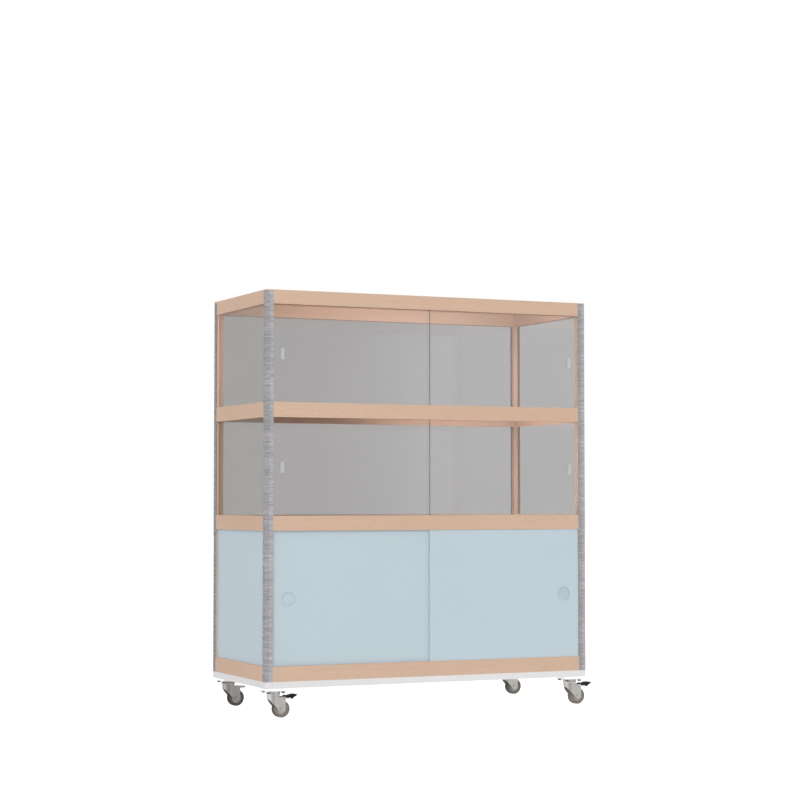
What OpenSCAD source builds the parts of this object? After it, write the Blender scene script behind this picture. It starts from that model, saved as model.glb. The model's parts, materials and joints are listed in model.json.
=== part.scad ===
// Rolling display cabinet: two glazed bays over one closed bay, each closed by
// two sliding doors that pass each other, in a beech frame on swivel castors.
// Millimetres, +Z up, front towards -Y. The origin is on the floor, in the
// middle of the whole footprint, brake pedals included.

/* [Cabinet] */
// Width over the posts
cabinet_w = 1060; // [900:10:1200]
// Depth over the posts
cabinet_d = 450; // [380:5:520]
// Clear height of the closed bay
lower_bay_h = 392; // [300:1:450]
// Clear height of each glazed bay
glazed_bay_h = 287; // [220:1:340]
// Thickness of the white base board
base_t = 19; // [16:1:25]
// Thickness of the top board
top_t = 3; // [3:0.5:6]

/* [Frame] */
// Side of the square posts, facing included
post_size = 23; // [22:1:30]
// Wall of the aluminium facing on a post
facing_t = 2; // [1.5:0.5:3]
// Height of the rails, except the top ones
rail_h = 44; // [40:1:60]
// Height of the top rails
top_rail_h = 38; // [34:1:50]
// Thickness of the shelf boards
shelf_t = 10; // [8:1:12]
// Side of the square cleats under the shelves
cleat_size = 15; // [10:1:15]

/* [Doors and panels] */
// Thickness of the glass doors
glass_door_t = 4; // [4:0.5:5]
// Thickness of the blue doors
blue_door_t = 5; // [4:0.5:5]
// Overlap of the two closed doors of a bay
door_overlap = 5; // [4:1:30]
// How far a door slides to be open
door_travel = 500; // [200:5:500]
// Thickness of the fixed side and back panels
panel_t = 4; // [3:0.5:4]
// Distance of the fixed panels behind the outer face
panel_inset = 7; // [5:0.5:8]
// Distance of a glass door's pull from the cabinet's side
pull_inset = 54; // [45:1:120]
// Distance of a blue door's finger cup from the cabinet's side
cup_inset = 75; // [60:1:150]
// Diameter of a finger cup
cup_d = 43; // [30:1:60]

/* [Castors] */
// Height of a castor, from the floor to the base board
castor_h = 86.5; // [84:0.5:90]
// Diameter of a castor wheel
wheel_d = 50; // [48:1:50]
// Width of a castor wheel
wheel_w = 20; // [18:1:20]
// Distance of the wheel's axle behind the swivel axis
trail = 23; // [22:0.5:24]
// Distance of a swivel axis from the cabinet's side
castor_inset_x = 38; // [36:1:80]
// Distance of a swivel axis from the cabinet's front or back
castor_inset_y = 35; // [35:1:80]
// The same two distances for the rear right castor, which stands further in
rear_right_inset_x = 62; // [36:1:90]
rear_right_inset_y = 41; // [35:1:80]

/* [Hidden] */
$fn = 64;

beech = [0.83, 0.71, 0.62];
brushed_metal = [0.63, 0.63, 0.65];
blue_laminate = [0.76, 0.82, 0.85];
white_laminate = [0.90, 0.90, 0.90];
tinted_glass = [0.66, 0.67, 0.66, 0.45];
frosted_plastic = [0.80, 0.80, 0.79];
zinc = [0.70, 0.69, 0.67];
white_plastic = [0.93, 0.93, 0.92];
grey_plastic = [0.66, 0.66, 0.64];
grey_rubber = [0.42, 0.40, 0.37];
black_plastic = [0.09, 0.09, 0.09];

// Heights above the underside of the base board
bottom_rail_z = base_t;
lower_bay_z = bottom_rail_z + rail_h;
lower_rail_z = lower_bay_z + lower_bay_h;
middle_bay_z = lower_rail_z + rail_h;
upper_rail_z = middle_bay_z + glazed_bay_h;
upper_bay_z = upper_rail_z + rail_h;
top_rail_z = upper_bay_z + glazed_bay_h;
top_board_z = top_rail_z + top_rail_h;
rail_levels = [bottom_rail_z, lower_rail_z, upper_rail_z, top_rail_z];
post_h = top_board_z - base_t;
function level_h(z) = z == top_rail_z ? top_rail_h : rail_h;

// Rails run between the posts, and the boards lie between the rails
front_rail_l = cabinet_w - 2 * post_size;
side_rail_l = cabinet_d - 2 * post_size;
board_gap = 0.5;
corner_r = 1;

// Grooves for the fixed panels, in the rails and in the posts
panel_groove_w = panel_t + 0.2;
panel_groove_depth = 5;
panel_tongue = 4.5;

// Two door tracks in the front rails: the right doors run in the front one
front_track_y = 3;
rear_track_y = 11;
track_play = 0.3;
lower_track_depth = 4;
upper_track_depth = 9;
door_below = 3.5;
door_above = 4.5;
door_side_gap = 1;
door_w = front_rail_l / 2 - door_side_gap + door_overlap / 2;
pull_size = [11.5, 2.5, 32];
pull_edge_r = 1;
pull_drop = 2.5;
cup_floor = 1.4;
cup_rim = 1.5;
cup_play = 0.15;

// Dowels in the rail ends; those of the side rails sit lower, clear of the others
dowel_r = 4;
dowel_play = 0.05;
dowel_rail_depth = 16;
dowel_post_depth = 13;
dowel_shift = 8;
dowel_axis = (post_size + facing_t) / 2;

// Screws that hold the base board to the bottom front and back rails
screw_xs = [-front_rail_l / 3, 0, front_rail_l / 3];
screw_r = 2;
screw_head_r = 4.5;
screw_head_h = 3;
screw_into_rail = 22;
screw_play = 0.1;

// Castor heights are measured down from the base board's underside, and its
// plan from the swivel axis, with the wheel trailing towards +X
spacer_size = [64, 58, 7];
plate_size = [60, 58, 2.5];
plate_z = -spacer_size[2] - plate_size[2];
bolt_spacing = 44.3;
bolt_r = 3;
bolt_hole_r = 3.4;
bolt_flange_r = 6.2;
bolt_flange_t = 1.4;
bolt_head_r = 5.4;
bolt_head_h = 3.6;
bolt_into_board = 12;
boss_r = 17;
boss_z = -12.3;
king_pin_r = 5;
king_head_r = 8;
king_head_h = 3;
running_play = 0.05;
race_top_z = boss_z - 0.3;
race_bottom_z = -19.8;
race_r = 20.5;
race_chamfer = 1.2;
crown_z = -26;
crown_t = 2.5;
fork_t = 2.5;
nose_r = 18.2;
leg_y = 14;
leg_x = [11.8, 33.7];
leg_end_r = 10.7;
nose_bottom_z = -30.5;
axle_z = -castor_h + wheel_d / 2;
axle_r = 3;
axle_head_r = 5.2;
axle_head_t = 3;
tongue_x = [33, 53];
tongue_y = [leg_y, 9];
braked_tongue_z = [-31.7, -29.3];
plain_tongue_z = [-31.3, -26.3];
tongue_wall = 2;
wheel_boss_y = leg_y - fork_t - 0.3;
wheel_boss_r = 8;
wheel_web_r = 14;
wheel_web_y = 5;
wheel_rim_r = 19;
wheel_rim_y = wheel_w / 2 - 0.8;
tyre_edge_r = 2.4;

// Brake pedal, pivoted between the fork's legs just above the tyre
pedal_pivot = [28.5, -29.5];
pedal_eye_r = 3.6;
pedal_pin_r = 1.5;
pedal_pin_head_r = 2.6;
pedal_pin_head_t = 1;
pedal_hub_y = 11.2;
pedal_tip_y = 13;
pedal_tip_x = 72;
brake_shoe_y = 8;
brake_travel = 5;
brake_gap = 0.1;

// Name, side, end, and the swivel axis's distances from that side and end
castors = [
    ["front_left", -1, -1, castor_inset_x, castor_inset_y],
    ["front_right", 1, -1, castor_inset_x, castor_inset_y],
    ["rear_left", -1, 1, castor_inset_x, castor_inset_y],
    ["rear_right", 1, 1, rear_right_inset_x, rear_right_inset_y],
];

// The pedal of the front right castor stands out past the cabinet's side
pedal_overhang = pedal_tip_x - castor_inset_x;
cabinet_x = -pedal_overhang / 2;

// ---------------------------------------------------------------- placing

// Cabinet frame: origin in the middle of the base board's underside
module in_cabinet() {
    translate([cabinet_x, 0, castor_h]) children();
}

// Corner frame: origin at a post's outer corner, +X and +Y into the cabinet
module in_corner(side, end) {
    in_cabinet()
        translate([side * cabinet_w / 2, end * cabinet_d / 2, 0])
            mirror([side > 0 ? 1 : 0, 0, 0])
                mirror([0, end > 0 ? 1 : 0, 0])
                    children();
}

// Castor frame: origin on the swivel axis, at the base board's underside
module in_castor(castor) {
    in_cabinet()
        translate([
            castor[1] * (cabinet_w / 2 - castor[3]),
            castor[2] * (cabinet_d / 2 - castor[4]),
            0
        ])
            children();
}

// Only the front castors have a brake pedal
function has_pedal(castor) = castor[2] < 0;

module at_each_corner() {
    for (side = [-1, 1], end = [-1, 1]) in_corner(side, end) children();
}

module at_each_castor() {
    for (castor = castors) in_castor(castor) children();
}

module at_each_plate_bolt() {
    for (x = [-0.5, 0.5], y = [-0.5, 0.5])
        translate([x * bolt_spacing, y * bolt_spacing, 0]) children();
}

// Straight bar or bore along Y, centred on the XZ plane's origin
module along_y(r, y0, y1, faces = $fn) {
    translate([0, y0, 0]) rotate([-90, 0, 0]) cylinder(h = y1 - y0, r = r, $fn = faces);
}

// Profile drawn in X and Z, extruded along Y between y0 and y1
module side_profile(y0, y1) {
    translate([0, y1, 0]) rotate([90, 0, 0]) linear_extrude(y1 - y0) children();
}

module rounded_square(w, d, r) {
    translate([-w / 2 + r, -d / 2]) square([w - 2 * r, d]);
    translate([-w / 2, -d / 2 + r]) square([w, d - 2 * r]);
    for (x = [-1, 1], y = [-1, 1])
        translate([x * (w / 2 - r), y * (d / 2 - r)]) circle(r);
}

// ---------------------------------------------------------------- frame

// Blind holes in a post for the dowels of the rails that meet it
module post_dowel_holes() {
    for (z = rail_levels) {
        middle_z = z + level_h(z) / 2;
        translate([post_size - dowel_post_depth, dowel_axis, middle_z + dowel_shift])
            rotate([0, 90, 0]) cylinder(h = dowel_post_depth + 1, r = dowel_r + dowel_play);
        translate([dowel_axis, post_size - dowel_post_depth, middle_z - dowel_shift])
            along_y(dowel_r + dowel_play, 0, dowel_post_depth + 1);
    }
}

module post_outline(has_back_groove) {
    difference() {
        translate([facing_t, facing_t]) square(post_size - facing_t);
        translate([panel_inset, post_size - panel_groove_depth])
            square([panel_groove_w, panel_groove_depth + 1]);
        if (has_back_groove)
            translate([post_size - panel_groove_depth, panel_inset])
                square([panel_groove_depth + 1, panel_groove_w]);
    }
}

module post(side, end) {
    color(beech)
        in_corner(side, end)
            difference() {
                translate([0, 0, base_t]) linear_extrude(post_h) post_outline(end > 0);
                post_dowel_holes();
            }
}

module facing_outline() {
    translate([corner_r, 0]) square([post_size - corner_r, facing_t]);
    translate([0, corner_r]) square([facing_t, post_size - corner_r]);
    translate([corner_r, corner_r]) circle(corner_r);
}

module post_facings() {
    color(brushed_metal)
        at_each_corner()
            translate([0, 0, base_t]) linear_extrude(post_h) facing_outline();
}

// Blind hole in both ends of a rail that runs along X, at height z
module rail_end_holes(length, z) {
    for (end = [-1, 1])
        translate([end * length / 2, dowel_axis, z])
            rotate([0, -end * 90, 0])
                translate([0, 0, -1])
                    cylinder(h = dowel_rail_depth + 1, r = dowel_r + dowel_play);
}

// Rail along X with its outer face on the XZ plane. Each groove is
// [distance behind the outer face, width, depth].
module grooved_rail(length, height, dowel_z, top_grooves, bottom_grooves) {
    difference() {
        translate([-length / 2, 0, 0]) cube([length, post_size, height]);
        for (groove = top_grooves)
            translate([-length, groove[0], height - groove[2]])
                cube([2 * length, groove[1], groove[2] + 1]);
        for (groove = bottom_grooves)
            translate([-length, groove[0], -1])
                cube([2 * length, groove[1], groove[2] + 1]);
        rail_end_holes(length, dowel_z);
    }
}

function track_grooves(door_t, depth) = [
    for (y = [front_track_y, rear_track_y]) [y - track_play, door_t + 2 * track_play, depth]
];

function panel_grooves() = [[panel_inset, panel_groove_w, panel_groove_depth]];

// Pilot holes for the base screws, in the underside of a bottom rail
module screw_pilot_holes() {
    for (x = screw_xs)
        translate([x, dowel_axis, -1]) cylinder(h = screw_into_rail + 2, r = screw_r + screw_play);
}

module front_rail(z, top_grooves, bottom_grooves) {
    height = level_h(z);
    color(beech)
        in_cabinet()
            translate([0, -cabinet_d / 2, z])
                difference() {
                    grooved_rail(front_rail_l, height, height / 2 + dowel_shift,
                                 top_grooves, bottom_grooves);
                    if (z == bottom_rail_z) screw_pilot_holes();
                }
}

module panel_rail(length, z, dowel_z) {
    grooved_rail(length, level_h(z), dowel_z,
                 z == top_rail_z ? [] : panel_grooves(),
                 z == bottom_rail_z ? [] : panel_grooves());
}

module back_rails() {
    color(beech)
        in_cabinet()
            for (z = rail_levels)
                translate([0, cabinet_d / 2, z])
                    rotate([0, 0, 180])
                        difference() {
                            panel_rail(front_rail_l, z, level_h(z) / 2 + dowel_shift);
                            if (z == bottom_rail_z) screw_pilot_holes();
                        }
}

module side_rails(side) {
    color(beech)
        in_cabinet()
            for (z = rail_levels)
                translate([side * cabinet_w / 2, 0, z])
                    rotate([0, 0, side * 90])
                        panel_rail(side_rail_l, z, level_h(z) / 2 - dowel_shift);
}

module rail_dowels() {
    length = dowel_rail_depth + dowel_post_depth - 1;
    color(beech)
        at_each_corner()
            for (z = rail_levels) {
                middle_z = z + level_h(z) / 2;
                translate([post_size - dowel_post_depth + 0.5, dowel_axis, middle_z + dowel_shift])
                    rotate([0, 90, 0]) cylinder(h = length, r = dowel_r);
                translate([dowel_axis, post_size - dowel_post_depth + 0.5, middle_z - dowel_shift])
                    along_y(dowel_r, 0, length);
            }
}

// ---------------------------------------------------------------- boards

module top_board() {
    color(beech)
        in_cabinet()
            translate([0, 0, top_board_z])
                linear_extrude(top_t) rounded_square(cabinet_w, cabinet_d, corner_r);
}

// Shelf board whose top is flush with the rails that surround it
module shelf(rail_z) {
    size = [front_rail_l - 2 * board_gap, side_rail_l - 2 * board_gap, shelf_t];
    color(beech)
        in_cabinet()
            translate([-size[0] / 2, -size[1] / 2, rail_z + rail_h - shelf_t])
                cube(size);
}

module shelf_cleats() {
    length = front_rail_l - 2 * cleat_size;
    color(beech)
        in_cabinet()
            for (z = [bottom_rail_z, lower_rail_z, upper_rail_z], end = [-1, 1])
                translate([
                    -length / 2,
                    end * (side_rail_l - cleat_size) / 2 - cleat_size / 2,
                    z + rail_h - shelf_t - cleat_size
                ])
                    cube([length, cleat_size, cleat_size]);
}

// Through holes in the base board for its screws, countersunk from below
module base_screw_holes() {
    for (x = screw_xs, end = [-1, 1])
        translate([x, end * (cabinet_d / 2 - dowel_axis), 0]) {
            translate([0, 0, -1]) cylinder(h = base_t + 2, r = screw_r + screw_play);
            translate([0, 0, -0.1])
                cylinder(h = screw_head_h + 0.2, r1 = screw_head_r + 0.2, r2 = screw_r);
        }
}

module base_board() {
    color(white_laminate)
        difference() {
            in_cabinet() linear_extrude(base_t) rounded_square(cabinet_w, cabinet_d, corner_r);
            in_cabinet() base_screw_holes();
            at_each_castor() at_each_plate_bolt()
                translate([0, 0, -1]) cylinder(h = bolt_into_board + 1.5, r = bolt_r + 0.1);
        }
}

module base_screws() {
    color(zinc)
        in_cabinet()
            for (x = screw_xs, end = [-1, 1])
                translate([x, end * (cabinet_d / 2 - dowel_axis), 0]) {
                    cylinder(h = base_t + screw_into_rail, r = screw_r);
                    cylinder(h = screw_head_h, r1 = screw_head_r, r2 = screw_r - 0.2);
                }
}

// ---------------------------------------------------------------- fixed panels

// Upright panel across X, held on all four sides by its tongue
module cross_panel(length, height) {
    translate([-length / 2 - panel_tongue, 0, -panel_tongue])
        cube([length + 2 * panel_tongue, panel_t, height + 2 * panel_tongue]);
}

module side_pane(side, z, height) {
    in_cabinet()
        translate([side * (cabinet_w / 2 - panel_inset - 0.1), 0, z])
            rotate([0, 0, side * 90]) cross_panel(side_rail_l, height);
}

module back_pane(z, height) {
    in_cabinet()
        translate([0, cabinet_d / 2 - panel_inset - 0.1, z])
            rotate([0, 0, 180]) cross_panel(front_rail_l, height);
}

module side_glass() {
    color(tinted_glass)
        for (side = [-1, 1], z = [middle_bay_z, upper_bay_z])
            side_pane(side, z, glazed_bay_h);
}

module back_glass() {
    color(tinted_glass)
        for (z = [middle_bay_z, upper_bay_z]) back_pane(z, glazed_bay_h);
}

module side_panel(side) {
    color(blue_laminate) side_pane(side, lower_bay_z, lower_bay_h);
}

module back_panel() {
    color(blue_laminate) back_pane(lower_bay_z, lower_bay_h);
}

// ---------------------------------------------------------------- doors

// Front face of a door, measured behind the cabinet's front: the left doors
// run in the rear track and the right doors in the front one
function door_y(side) = side < 0 ? rear_track_y : front_track_y;

// Door frame: origin on the door's front face, in the middle of its bay's
// height and at the cabinet's side
module in_door(side, bay_z, bay_h) {
    in_cabinet()
        translate([side * cabinet_w / 2, -cabinet_d / 2 + door_y(side), bay_z + bay_h / 2])
            children();
}

module door_blank(side, bay_h, thickness) {
    outer_edge = post_size + door_side_gap;
    translate([side > 0 ? -outer_edge - door_w : outer_edge, 0, -bay_h / 2 - door_below])
        cube([door_w, thickness, bay_h + door_below + door_above]);
}

module glass_door(side, bay_z) {
    color(tinted_glass)
        in_door(side, bay_z, glazed_bay_h) door_blank(side, glazed_bay_h, glass_door_t);
}

module pull(side, bay_z) {
    color(frosted_plastic)
        in_door(side, bay_z, glazed_bay_h)
            translate([-side * pull_inset, -pull_size[1], -pull_drop])
                side_profile(0, pull_size[1])
                    rounded_square(pull_size[0], pull_size[2], pull_edge_r);
}

module blue_door(side) {
    color(blue_laminate)
        in_door(side, lower_bay_z, lower_bay_h)
            difference() {
                door_blank(side, lower_bay_h, blue_door_t);
                translate([-side * cup_inset, 0, -pull_drop])
                    along_y(cup_d / 2 + cup_play, -1, blue_door_t + 1);
            }
}

// Finger cup let flush into a blue door
module cup(side) {
    color(blue_laminate)
        in_door(side, lower_bay_z, lower_bay_h)
            translate([-side * cup_inset, 0, -pull_drop])
                difference() {
                    along_y(cup_d / 2, 0, blue_door_t);
                    along_y(cup_d / 2 - cup_rim, -1, blue_door_t - cup_floor);
                }
}

// ---------------------------------------------------------------- castors

module castor_spacers() {
    color(white_plastic)
        at_each_castor()
            difference() {
                translate([0, 0, -spacer_size[2]])
                    linear_extrude(spacer_size[2])
                        rounded_square(spacer_size[0], spacer_size[1], 4);
                at_each_plate_bolt()
                    translate([0, 0, -spacer_size[2] - 1])
                        cylinder(h = spacer_size[2] + 2, r = bolt_hole_r);
            }
}

// Top plate with its pressed boss and the king pin riveted into it
module castor_plates() {
    color(zinc)
        at_each_castor() {
            difference() {
                translate([0, 0, plate_z])
                    linear_extrude(plate_size[2])
                        rounded_square(plate_size[0], plate_size[1], 6);
                at_each_plate_bolt()
                    translate([0, 0, plate_z - 1]) cylinder(h = plate_size[2] + 2, r = bolt_hole_r);
            }
            translate([0, 0, boss_z]) cylinder(h = plate_z - boss_z, r = boss_r);
            translate([0, 0, crown_z - crown_t - 0.3])
                cylinder(h = plate_z - crown_z + crown_t + 0.3, r = king_pin_r);
            translate([0, 0, crown_z - crown_t - 0.3 - king_head_h])
                cylinder(h = king_head_h, r = king_head_r);
        }
}

// Hexagon flange bolts, head down
module plate_bolts() {
    color(zinc)
        at_each_castor() at_each_plate_bolt()
            translate([0, 0, plate_z]) {
                translate([0, 0, -bolt_flange_t - bolt_head_h])
                    cylinder(h = bolt_head_h, r = bolt_head_r, $fn = 6);
                translate([0, 0, -bolt_flange_t]) cylinder(h = bolt_flange_t, r = bolt_flange_r);
                cylinder(h = bolt_into_board - plate_z, r = bolt_r);
            }
}

// Plan of the fork's pressed shell: a round nose on the swivel axis and two
// straight legs; wall is how far the outline lies inside the outer one
module fork_plan(wall, back_x) {
    circle(nose_r - wall);
    polygon([
        [0, nose_r - wall], [leg_x[0], leg_y - wall], [back_x, leg_y - wall],
        [back_x, wall - leg_y], [leg_x[0], wall - leg_y], [0, wall - nose_r],
    ]);
}

// Where the nose's sloping lower edge, from point p, touches the leg's round end
function tangent_point(p, centre, r) =
    let (
        v = centre - p,
        reach = sqrt(v * v - r * r),
        angle = atan2(v[1], v[0]) - asin(r / norm(v))
    )
    p + reach * [cos(angle), sin(angle)];

module fork_side_outline() {
    nose_corner = [-nose_r - 0.3, nose_bottom_z];
    axle = [trail, axle_z];
    polygon([
        [-nose_r - 0.3, crown_z], nose_corner, tangent_point(nose_corner, axle, leg_end_r),
        axle, [leg_x[1], axle_z], [leg_x[1], crown_z],
    ]);
    translate(axle) circle(leg_end_r);
}

module fork_shell() {
    bottom_z = axle_z - leg_end_r - 1;
    difference() {
        intersection() {
            side_profile(-leg_y - nose_r, leg_y + nose_r) fork_side_outline();
            translate([0, 0, bottom_z]) linear_extrude(crown_z - bottom_z) fork_plan(0, leg_x[1]);
        }
        translate([0, 0, bottom_z - 1])
            linear_extrude(crown_z - crown_t - bottom_z + 1) fork_plan(fork_t, leg_x[1] + 1);
        translate([nose_r, -leg_y + fork_t, crown_z - crown_t - 1])
            cube([leg_x[1], 2 * (leg_y - fork_t), crown_t + 2]);
    }
}

// Ball race housing, turned, with both edges broken
module race_housing() {
    rotate_extrude()
        polygon([
            [0, race_bottom_z], [race_r - race_chamfer, race_bottom_z],
            [race_r, race_bottom_z + race_chamfer], [race_r, race_top_z - race_chamfer],
            [race_r - race_chamfer, race_top_z], [0, race_top_z],
        ]);
}

// Plan of the tongue, with its edges moved in by inset
module tongue_plan(inset) {
    ys = [tongue_y[0] - inset, tongue_y[1] - inset];
    polygon([
        [tongue_x[0], -ys[0]], [leg_x[1], -ys[0]], [tongue_x[1] - inset, -ys[1]],
        [tongue_x[1] - inset, ys[1]], [leg_x[1], ys[0]], [tongue_x[0], ys[0]],
    ]);
}

// Tongue that ties the legs together behind the wheel's top: a flat one under a
// pedal, and one with its edges turned down where there is no pedal
module fork_tongue(has_pedal) {
    z = has_pedal ? braked_tongue_z : plain_tongue_z;
    difference() {
        translate([0, 0, z[0]]) linear_extrude(z[1] - z[0]) tongue_plan(0);
        if (!has_pedal)
            translate([0, 0, z[0] - 1])
                linear_extrude(z[1] - z[0] + 1 - tongue_wall) tongue_plan(tongue_wall);
    }
}

module fork(castor) {
    color(zinc)
        in_castor(castor)
            difference() {
                union() {
                    race_housing();
                    translate([0, 0, crown_z]) cylinder(h = race_bottom_z - crown_z, r = nose_r);
                    fork_shell();
                    fork_tongue(has_pedal(castor));
                }
                translate([0, 0, crown_z - crown_t - 1])
                    cylinder(h = race_top_z - crown_z + crown_t + 2, r = king_pin_r + running_play);
                translate([trail, 0, axle_z]) along_y(axle_r + running_play, -leg_y - 1, leg_y + 1);
                if (has_pedal(castor))
                    translate([pedal_pivot[0], 0, pedal_pivot[1]])
                        along_y(pedal_pin_r + running_play, -leg_y - 1, leg_y + 1);
            }
}

// Axle bolt with its hexagon head at the front and its nut at the back
module axle(castor) {
    color(zinc)
        in_castor(castor)
            translate([trail, 0, axle_z]) {
                along_y(axle_r, -leg_y - axle_head_t, leg_y + axle_head_t);
                along_y(axle_head_r, -leg_y - axle_head_t, -leg_y, faces = 6);
                along_y(axle_head_r, leg_y, leg_y + axle_head_t, faces = 6);
            }
}

// Turned shape about the wheel's axle, drawn as radius and distance from the middle
module turned_on_axle(castor) {
    in_castor(castor)
        translate([trail, 0, axle_z]) rotate([-90, 0, 0]) rotate_extrude() children();
}

module wheel(castor) {
    bore_r = axle_r + running_play;
    color(grey_plastic)
        turned_on_axle(castor) {
            translate([bore_r, -wheel_boss_y]) square([wheel_boss_r - bore_r, 2 * wheel_boss_y]);
            translate([bore_r, -wheel_web_y]) square([wheel_rim_r - bore_r, 2 * wheel_web_y]);
            translate([wheel_web_r, -wheel_rim_y])
                square([wheel_rim_r - wheel_web_r, 2 * wheel_rim_y]);
        }
}

module tyre(castor) {
    outer_r = wheel_d / 2;
    inner_r = wheel_rim_r + running_play;
    color(grey_rubber)
        turned_on_axle(castor) {
            translate([inner_r, -wheel_w / 2]) square([outer_r - tyre_edge_r - inner_r, wheel_w]);
            translate([inner_r, tyre_edge_r - wheel_w / 2])
                square([outer_r - inner_r, wheel_w - 2 * tyre_edge_r]);
            for (flank = [-1, 1])
                translate([outer_r - tyre_edge_r, flank * (wheel_w / 2 - tyre_edge_r)])
                    circle(tyre_edge_r);
        }
}

// Side view of the pedal: lever with a raised tip and a hook below it, and the
// shoe that meets the tyre
module pedal_outline() {
    polygon([
        pedal_pivot, [29.5, -26.2], [34.2, -23.4], [37, -22.3], [46, -23.4], [52, -21.7],
        [58, -20.1], [66, -19.8], [pedal_tip_x - 1, -20.7], [pedal_tip_x, -21.8],
        [69.5, -23.8], [59, -29], [55.8, -33.3], [54.2, -33], [54, -26.7], [48, -27.3],
        [34, -27.6], [31.9, -28.5],
    ]);
    translate(pedal_pivot) circle(pedal_eye_r);
}

// Point of the shoe's face that lies just clear of the tyre, at this angle from
// the wheel's top, once the pedal is fully down
function shoe_face(angle) =
    let (
        r = wheel_d / 2 + brake_gap,
        p = [trail + r * sin(angle), axle_z + r * cos(angle)] - pedal_pivot
    )
    pedal_pivot + [
        p[0] * cos(brake_travel) - p[1] * sin(brake_travel),
        p[0] * sin(brake_travel) + p[1] * cos(brake_travel),
    ];

module brake_shoe_outline() {
    polygon([
        [27.2, -29.5], [32.1, -29.5], [32.3, -33.5],
        for (angle = [25:-4:13]) shoe_face(angle),
    ]);
}

module pedal_plan() {
    polygon([
        [20, -pedal_hub_y], [36, -pedal_hub_y], [42, -pedal_tip_y], [66, -pedal_tip_y],
        [pedal_tip_x, -pedal_tip_y + 4], [pedal_tip_x, pedal_tip_y - 4],
        [66, pedal_tip_y], [42, pedal_tip_y], [36, pedal_hub_y], [20, pedal_hub_y],
    ]);
}

module pedal(castor) {
    color(black_plastic)
        in_castor(castor)
            difference() {
                union() {
                    intersection() {
                        side_profile(-pedal_tip_y, pedal_tip_y) pedal_outline();
                        translate([0, 0, -45]) linear_extrude(45) pedal_plan();
                    }
                    side_profile(-brake_shoe_y, brake_shoe_y) brake_shoe_outline();
                }
                translate([pedal_pivot[0], 0, pedal_pivot[1]])
                    along_y(pedal_pin_r + running_play, -leg_y, leg_y);
            }
}

module pedal_pin(castor) {
    color(zinc)
        in_castor(castor)
            translate([pedal_pivot[0], 0, pedal_pivot[1]]) {
                along_y(pedal_pin_r, -leg_y - pedal_pin_head_t, leg_y + pedal_pin_head_t);
                along_y(pedal_pin_head_r, -leg_y - pedal_pin_head_t, -leg_y);
                along_y(pedal_pin_head_r, leg_y, leg_y + pedal_pin_head_t);
            }
}

// ---------------------------------------------------------------- nodes

post(-1, -1);  // post_front_left
post(1, -1);  // post_front_right
post(-1, 1);  // post_rear_left
post(1, 1);  // post_rear_right
post_facings();

front_rail(top_rail_z, [], track_grooves(glass_door_t, upper_track_depth));  // top_front_rail
front_rail(upper_rail_z, track_grooves(glass_door_t, lower_track_depth),  // upper_front_rail
               track_grooves(glass_door_t, upper_track_depth));
front_rail(lower_rail_z, track_grooves(glass_door_t, lower_track_depth),  // lower_front_rail
               track_grooves(blue_door_t, upper_track_depth));
front_rail(bottom_rail_z, track_grooves(blue_door_t, lower_track_depth), []);  // bottom_front_rail
back_rails();
side_rails(-1);  // left_rails
side_rails(1);  // right_rails
rail_dowels();

top_board();
shelf(upper_rail_z);  // upper_shelf
shelf(lower_rail_z);  // lower_shelf
shelf(bottom_rail_z);  // bottom_shelf
shelf_cleats();
side_glass();
back_glass();
side_panel(-1);  // left_panel
side_panel(1);  // right_panel
back_panel();
base_board();
base_screws();
castor_spacers();
castor_plates();
plate_bolts();

glass_door(-1, upper_bay_z);  // upper_left_door
pull(-1, upper_bay_z);  // upper_left_pull
glass_door(1, upper_bay_z);  // upper_right_door
pull(1, upper_bay_z);  // upper_right_pull
glass_door(-1, middle_bay_z);  // middle_left_door
pull(-1, middle_bay_z);  // middle_left_pull
glass_door(1, middle_bay_z);  // middle_right_door
pull(1, middle_bay_z);  // middle_right_pull
blue_door(-1);  // lower_left_door
cup(-1);  // lower_left_cup
blue_door(1);  // lower_right_door
cup(1);  // lower_right_cup

for (castor = castors) {
    fork(castor);
    axle(castor);
    wheel(castor);
    tyre(castor);
}
for (castor = castors) if (has_pedal(castor)) {
    pedal(castor);
    pedal_pin(castor);
}
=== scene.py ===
"""Looks of the rolling display cabinet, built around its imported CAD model."""

import json
import math

import bmesh
import bpy
from mathutils import Matrix, Vector

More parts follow.
